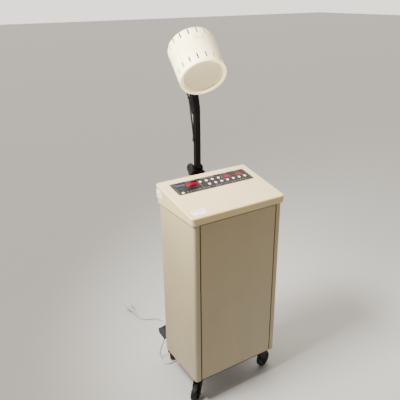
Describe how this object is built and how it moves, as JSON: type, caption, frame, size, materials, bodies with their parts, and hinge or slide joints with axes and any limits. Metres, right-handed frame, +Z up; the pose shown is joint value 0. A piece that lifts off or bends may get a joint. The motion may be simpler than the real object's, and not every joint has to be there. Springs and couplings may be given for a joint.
{
  "type": "shortwave therapy unit",
  "caption": "Cabinet on swivel castors with a sloping membrane-key console, and an upright jointed arm behind it that carries a drum-shaped treatment head.",
  "frame": {"origin": "on the floor under the middle of the unit without its mains lead", "axes": "+Z up, -Y towards the front with the console, +X to the right seen from the front"},
  "size_m": [0.4388, 0.8199, 1.4647],
  "materials": {
    "cream_paint": "smooth satin paint",
    "cream_plastic": "moulded, soft gloss",
    "black_paint": "black satin paint",
    "black_plastic": "moulded, matt",
    "knob_plastic": "ribbed, matt",
    "panel_film": "printed film, satin",
    "red_window": "tinted window",
    "green_window": "tinted window",
    "key_cap": "off-white",
    "steel": "plain",
    "wheel_rubber": "moulded tread",
    "face_board": "flat board",
    "former_board": "flat board",
    "copper": "bare tube",
    "circuit_board": "green board",
    "transformer_iron": "varnished core",
    "lead_sheath": "light grey sheath"
  },
  "bodies": {
    "cabinet": {"side_panel_left": "cream_paint", "side_panel_right": "cream_paint", "front_panel": "cream_paint", "rear_panel": "cream_paint", "base_tray": "black_paint", "console_cap": "cream_paint", "keypad_bezel": "panel_film", "display_left": "red_window", "display_middle": "red_window", "display_right": "red_window", "status_window": "green_window", "rf_generator_case": "steel", "power_transformer": "transformer_iron", "control_board": "circuit_board", "fan_frame": "black_plastic", "arm_post": "black_paint", "mains_inlet": "black_plastic", "mains_connector": "black_plastic", "cord_near": "lead_sheath", "cord_coil": "lead_sheath", "cord_far": "lead_sheath", "mains_plug": "lead_sheath"},
    "arm_base": {"arm_clevis": "black_paint", "shoulder_pin": "steel"},
    "knob": {"shoulder_knob": "knob_plastic"},
    "lower_arm": {"lower_arm": "black_paint", "arm_cable_lower": "black_plastic"},
    "upper_arm": {"upper_arm": "black_paint", "elbow_pin": "steel", "arm_cable_upper": "black_plastic"},
    "knuckle": {"head_knuckle": "black_paint"},
    "head": {"head_saddle": "black_paint", "drum_rear_shell": "cream_plastic", "drum_front_shell": "cream_plastic", "face_disc": "face_board", "applicator_coil": "copper", "coil_former": "former_board", "head_catch": "cream_plastic"},
    "fan": {"fan_rotor": "black_plastic"},
    "switch": {"power_switch": "black_plastic"},
    "fork_front_left": {"castor_fork_front_left": "black_paint"},
    "wheel_front_left": {"castor_wheel_front_left": "wheel_rubber"},
    "fork_front_right": {"castor_fork_front_right": "black_paint"},
    "wheel_front_right": {"castor_wheel_front_right": "wheel_rubber"},
    "fork_rear_left": {"castor_fork_rear_left": "black_paint"},
    "wheel_rear_left": {"castor_wheel_rear_left": "wheel_rubber"},
    "fork_rear_right": {"castor_fork_rear_right": "black_paint"},
    "wheel_rear_right": {"castor_wheel_rear_right": "wheel_rubber"},
    "key_preset_1": {"key_preset_1": "key_cap"},
    "key_preset_2": {"key_preset_2": "key_cap"},
    "key_preset_3": {"key_preset_3": "key_cap"},
    "key_preset_4": {"key_preset_4": "key_cap"},
    "key_mode_1": {"key_mode_1": "key_cap"},
    "key_mode_2": {"key_mode_2": "key_cap"},
    "key_mode_3": {"key_mode_3": "key_cap"},
    "key_output_1": {"key_output_1": "key_cap"},
    "key_output_2": {"key_output_2": "key_cap"},
    "key_output_3": {"key_output_3": "key_cap"},
    "key_output_4": {"key_output_4": "key_cap"},
    "key_power": {"key_power": "key_cap"}
  },
  "joints": [
    {"name": "arm_swivel", "type": "hinge", "parent": "cabinet", "child": "arm_base", "pos_m": [0.007, 0.1075, 0.8905], "axis": [0, 0, 1], "range_deg": [-110, 20]},
    {"name": "shoulder_pitch", "type": "hinge", "parent": "arm_base", "child": "lower_arm", "pos_m": [0.007, 0.1075, 0.915], "axis": [1, 0, 0], "range_deg": [-25, 55]},
    {"name": "shoulder_knob_turn", "type": "hinge", "parent": "arm_base", "child": "knob", "pos_m": [-0.03, 0.1075, 0.915], "axis": [1, 0, 0], "range_deg": [-180, 180]},
    {"name": "elbow_pitch", "type": "hinge", "parent": "lower_arm", "child": "upper_arm", "pos_m": [0.007, 0.1075, 1.15], "axis": [-1, 0, 0], "range_deg": [-50, 60], "deforming": ["arm_cable_lower"]},
    {"name": "head_tilt", "type": "hinge", "parent": "upper_arm", "child": "knuckle", "pos_m": [0.005, 0.1243, 1.2239], "axis": [1, 0, 0], "range_deg": [-60, 40], "deforming": ["arm_cable_upper"]},
    {"name": "head_turn", "type": "hinge", "parent": "knuckle", "child": "head", "pos_m": [0.005, 0.1243, 1.2239], "axis": [0.1124, 0.6067, -0.7869], "range_deg": [-90, 90]},
    {"name": "power_switch_rock", "type": "hinge", "parent": "cabinet", "child": "switch", "pos_m": [-0.128, 0.0585, 0.19], "axis": [1, 0, 0], "range_deg": [-8, 8]},
    {"name": "fan_spin", "type": "hinge", "parent": "cabinet", "child": "fan", "pos_m": [0.085, 0.0395, 0.64], "axis": [0, 1, 0], "continuous": true},
    {"name": "swivel_front_left", "type": "hinge", "parent": "cabinet", "child": "fork_front_left", "pos_m": [-0.158, -0.1515, 0.09], "axis": [0, 0, 1], "continuous": true},
    {"name": "roll_front_left", "type": "hinge", "parent": "fork_front_left", "child": "wheel_front_left", "pos_m": [-0.18257, -0.16871, 0.0365], "axis": [0.5736, -0.8192, 0], "continuous": true},
    {"name": "swivel_front_right", "type": "hinge", "parent": "cabinet", "child": "fork_front_right", "pos_m": [0.158, -0.1575, 0.09], "axis": [0, 0, 1], "continuous": true},
    {"name": "roll_front_right", "type": "hinge", "parent": "fork_front_right", "child": "wheel_front_right", "pos_m": [0.18698, -0.14974, 0.0365], "axis": [-0.2588, 0.9659, 0], "continuous": true},
    {"name": "swivel_rear_left", "type": "hinge", "parent": "cabinet", "child": "fork_rear_left", "pos_m": [-0.124, 0.1405, 0.09], "axis": [0, 0, 1], "continuous": true, "deforming": ["cord_near"]},
    {"name": "roll_rear_left", "type": "hinge", "parent": "fork_rear_left", "child": "wheel_rear_left", "pos_m": [-0.139, 0.11452, 0.0365], "axis": [0.866, -0.5, 0], "continuous": true},
    {"name": "swivel_rear_right", "type": "hinge", "parent": "cabinet", "child": "fork_rear_right", "pos_m": [0.124, 0.1405, 0.09], "axis": [0, 0, 1], "continuous": true},
    {"name": "roll_rear_right", "type": "hinge", "parent": "fork_rear_right", "child": "wheel_rear_right", "pos_m": [0.13176, 0.11152, 0.0365], "axis": [0.9659, 0.2588, 0], "continuous": true},
    {"name": "key_preset_1_press", "type": "slide", "parent": "cabinet", "child": "key_preset_1", "axis": [0, 0.1795, -0.9838], "range_m": [0, 0.0008], "stiffness_N_per_m": 1500},
    {"name": "key_preset_2_press", "type": "slide", "parent": "cabinet", "child": "key_preset_2", "axis": [0, 0.1795, -0.9838], "range_m": [0, 0.0008], "stiffness_N_per_m": 1500},
    {"name": "key_preset_3_press", "type": "slide", "parent": "cabinet", "child": "key_preset_3", "axis": [0, 0.1795, -0.9838], "range_m": [0, 0.0008], "stiffness_N_per_m": 1500},
    {"name": "key_preset_4_press", "type": "slide", "parent": "cabinet", "child": "key_preset_4", "axis": [0, 0.1795, -0.9838], "range_m": [0, 0.0008], "stiffness_N_per_m": 1500},
    {"name": "key_mode_1_press", "type": "slide", "parent": "cabinet", "child": "key_mode_1", "axis": [0, 0.1795, -0.9838], "range_m": [0, 0.0008], "stiffness_N_per_m": 1500},
    {"name": "key_mode_2_press", "type": "slide", "parent": "cabinet", "child": "key_mode_2", "axis": [0, 0.1795, -0.9838], "range_m": [0, 0.0008], "stiffness_N_per_m": 1500},
    {"name": "key_mode_3_press", "type": "slide", "parent": "cabinet", "child": "key_mode_3", "axis": [0, 0.1795, -0.9838], "range_m": [0, 0.0008], "stiffness_N_per_m": 1500},
    {"name": "key_output_1_press", "type": "slide", "parent": "cabinet", "child": "key_output_1", "axis": [0, 0.1795, -0.9838], "range_m": [0, 0.0008], "stiffness_N_per_m": 1500},
    {"name": "key_output_2_press", "type": "slide", "parent": "cabinet", "child": "key_output_2", "axis": [0, 0.1795, -0.9838], "range_m": [0, 0.0008], "stiffness_N_per_m": 1500},
    {"name": "key_output_3_press", "type": "slide", "parent": "cabinet", "child": "key_output_3", "axis": [0, 0.1795, -0.9838], "range_m": [0, 0.0008], "stiffness_N_per_m": 1500},
    {"name": "key_output_4_press", "type": "slide", "parent": "cabinet", "child": "key_output_4", "axis": [0, 0.1795, -0.9838], "range_m": [0, 0.0008], "stiffness_N_per_m": 1500},
    {"name": "key_power_press", "type": "slide", "parent": "cabinet", "child": "key_power", "axis": [0, 0.1795, -0.9838], "range_m": [0, 0.0008], "stiffness_N_per_m": 1500}
  ]
}
